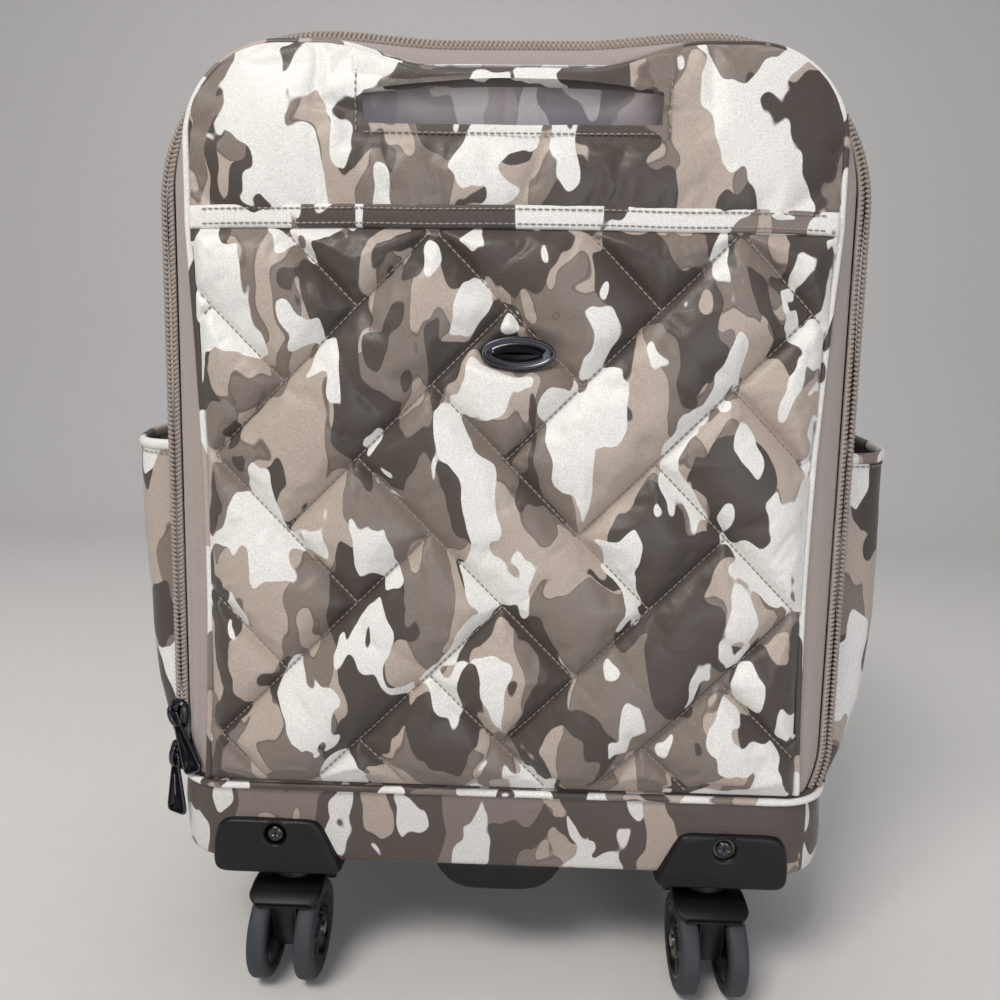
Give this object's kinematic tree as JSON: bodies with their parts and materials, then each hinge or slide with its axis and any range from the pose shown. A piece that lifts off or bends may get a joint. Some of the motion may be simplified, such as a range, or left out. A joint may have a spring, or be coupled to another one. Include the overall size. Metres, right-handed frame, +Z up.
{
  "type": "rolling spinner cabin bag",
  "caption": "Upright soft-sided rolling bag in camouflage satin with a quilted front pocket, zipped lid, telescopic handle and twin-wheel swivel casters.",
  "frame": {"origin": "on the floor, at the middle of the footprint of the whole bag", "axes": "+Z up, the quilted front faces -Y, +X to the right seen from the front"},
  "size_m": [0.433, 0.238, 0.5276],
  "materials": {
    "camo_satin": "satin-woven polyester printed with a four-tone camouflage",
    "camo_binding": "the same satin cut on the bias and wrapped as binding and piping",
    "zip_tape": "herringbone woven polyester tape",
    "zip_coil": "nylon coil teeth",
    "lining": "plain woven polyester lining",
    "moulded_black": "fine spark-eroded texture",
    "anodised_tube": "brushed and clear anodised",
    "steel": "zinc plated",
    "black_nickel": "polished black nickel plating",
    "caster_tread": "smooth dark grey polyurethane"
  },
  "bodies": {
    "shell": {"base_pan": "moulded_black", "base_band": "camo_satin", "edge_piping": "camo_binding", "gusset_shell": "camo_satin", "back_panel": "camo_satin", "lining": "lining", "tube_cover": "lining", "zip_tape_body": "zip_tape", "zip_coil_body": "zip_coil", "pocket_left": "camo_satin", "pocket_right": "camo_satin", "bottom_grip": "moulded_black", "trolley_outer_tubes": "anodised_tube", "trolley_bezel": "moulded_black", "caster_housings": "moulded_black", "housing_screws": "black_nickel", "caster_kingpins": "steel", "caster_washers": "steel"},
    "front_lid": {"lid_shell": "camo_satin", "handle_recess": "camo_satin", "quilted_pocket": "camo_satin", "pocket_binding": "camo_binding", "grab_handle": "camo_satin", "lid_piping": "camo_binding", "zip_tape_lid": "zip_tape", "zip_coil_lid": "zip_coil", "badge_plate": "black_nickel"},
    "slider_upper": {"slider_upper": "black_nickel"},
    "pull_upper": {"pull_upper": "black_nickel"},
    "slider_lower": {"slider_lower": "black_nickel"},
    "pull_lower": {"pull_lower": "black_nickel"},
    "trolley_mid": {"trolley_mid_tubes": "anodised_tube"},
    "trolley_handle": {"trolley_inner_tubes": "anodised_tube", "trolley_grip": "moulded_black"},
    "trolley_button": {"trolley_button": "black_nickel"},
    "fork_fl": {"fork_fl": "moulded_black", "axle_fl": "steel"},
    "wheel_fl_l": {"tyre_fl_l": "caster_tread", "hub_fl_l": "moulded_black"},
    "wheel_fl_r": {"tyre_fl_r": "caster_tread", "hub_fl_r": "moulded_black"},
    "fork_fr": {"fork_fr": "moulded_black", "axle_fr": "steel"},
    "wheel_fr_l": {"tyre_fr_l": "caster_tread", "hub_fr_l": "moulded_black"},
    "wheel_fr_r": {"tyre_fr_r": "caster_tread", "hub_fr_r": "moulded_black"},
    "fork_rl": {"fork_rl": "moulded_black", "axle_rl": "steel"},
    "wheel_rl_l": {"tyre_rl_l": "caster_tread", "hub_rl_l": "moulded_black"},
    "wheel_rl_r": {"tyre_rl_r": "caster_tread", "hub_rl_r": "moulded_black"},
    "fork_rr": {"fork_rr": "moulded_black", "axle_rr": "steel"},
    "wheel_rr_l": {"tyre_rr_l": "caster_tread", "hub_rr_l": "moulded_black"},
    "wheel_rr_r": {"tyre_rr_r": "caster_tread", "hub_rr_r": "moulded_black"}
  },
  "joints": [
    {"name": "lid_hinge", "type": "hinge", "parent": "shell", "child": "front_lid", "pos_m": [0, -0.103, 0.115], "axis": [1, 0, 0], "range_deg": [0, 95]},
    {"name": "slider_upper_travel", "type": "slide", "parent": "front_lid", "child": "slider_upper", "axis": [0, 0, 1], "range_m": [0, 0.26]},
    {"name": "pull_upper_swing", "type": "hinge", "parent": "slider_upper", "child": "pull_upper", "pos_m": [-0.17613, -0.09528, 0.146], "axis": [-0.8213, 0.3833, -0.4226], "range_deg": [0, 150]},
    {"name": "slider_lower_travel", "type": "slide", "parent": "shell", "child": "slider_lower", "axis": [0, 0, 1], "range_m": [0, 0.003]},
    {"name": "pull_lower_swing", "type": "hinge", "parent": "slider_lower", "child": "pull_lower", "pos_m": [-0.17613, -0.09528, 0.123], "axis": [-0.9062, 0.4229, 0], "range_deg": [0, 150]},
    {"name": "trolley_stage_1", "type": "slide", "parent": "shell", "child": "trolley_mid", "axis": [0, 0, 1], "range_m": [0, 0.25]},
    {"name": "trolley_stage_2", "type": "slide", "parent": "trolley_mid", "child": "trolley_handle", "axis": [0, 0, 1], "range_m": [0, 0.25]},
    {"name": "trolley_button_press", "type": "slide", "parent": "trolley_handle", "child": "trolley_button", "axis": [0, 0, -1], "range_m": [0, 0.0035], "stiffness_N_per_m": 900},
    {"name": "swivel_fl", "type": "hinge", "parent": "shell", "child": "fork_fl", "pos_m": [-0.114, -0.081, 0.0525], "axis": [0, 0, 1], "continuous": true},
    {"name": "roll_fl_l", "type": "hinge", "parent": "fork_fl", "child": "wheel_fl_l", "pos_m": [-0.1265, -0.094, 0.025], "axis": [1, 0, 0], "continuous": true},
    {"name": "roll_fl_r", "type": "hinge", "parent": "fork_fl", "child": "wheel_fl_r", "pos_m": [-0.1015, -0.094, 0.025], "axis": [1, 0, 0], "continuous": true},
    {"name": "swivel_fr", "type": "hinge", "parent": "shell", "child": "fork_fr", "pos_m": [0.114, -0.081, 0.0525], "axis": [0, 0, 1], "continuous": true},
    {"name": "roll_fr_l", "type": "hinge", "parent": "fork_fr", "child": "wheel_fr_l", "pos_m": [0.1015, -0.094, 0.025], "axis": [1, 0, 0], "continuous": true},
    {"name": "roll_fr_r", "type": "hinge", "parent": "fork_fr", "child": "wheel_fr_r", "pos_m": [0.1265, -0.094, 0.025], "axis": [1, 0, 0], "continuous": true},
    {"name": "swivel_rl", "type": "hinge", "parent": "shell", "child": "fork_rl", "pos_m": [-0.114, 0.093, 0.0525], "axis": [0, 0, 1], "continuous": true},
    {"name": "roll_rl_l", "type": "hinge", "parent": "fork_rl", "child": "wheel_rl_l", "pos_m": [-0.1265, 0.08, 0.025], "axis": [1, 0, 0], "continuous": true},
    {"name": "roll_rl_r", "type": "hinge", "parent": "fork_rl", "child": "wheel_rl_r", "pos_m": [-0.1015, 0.08, 0.025], "axis": [1, 0, 0], "continuous": true},
    {"name": "swivel_rr", "type": "hinge", "parent": "shell", "child": "fork_rr", "pos_m": [0.114, 0.093, 0.0525], "axis": [0, 0, 1], "continuous": true},
    {"name": "roll_rr_l", "type": "hinge", "parent": "fork_rr", "child": "wheel_rr_l", "pos_m": [0.1015, 0.08, 0.025], "axis": [1, 0, 0], "continuous": true},
    {"name": "roll_rr_r", "type": "hinge", "parent": "fork_rr", "child": "wheel_rr_r", "pos_m": [0.1265, 0.08, 0.025], "axis": [1, 0, 0], "continuous": true}
  ]
}
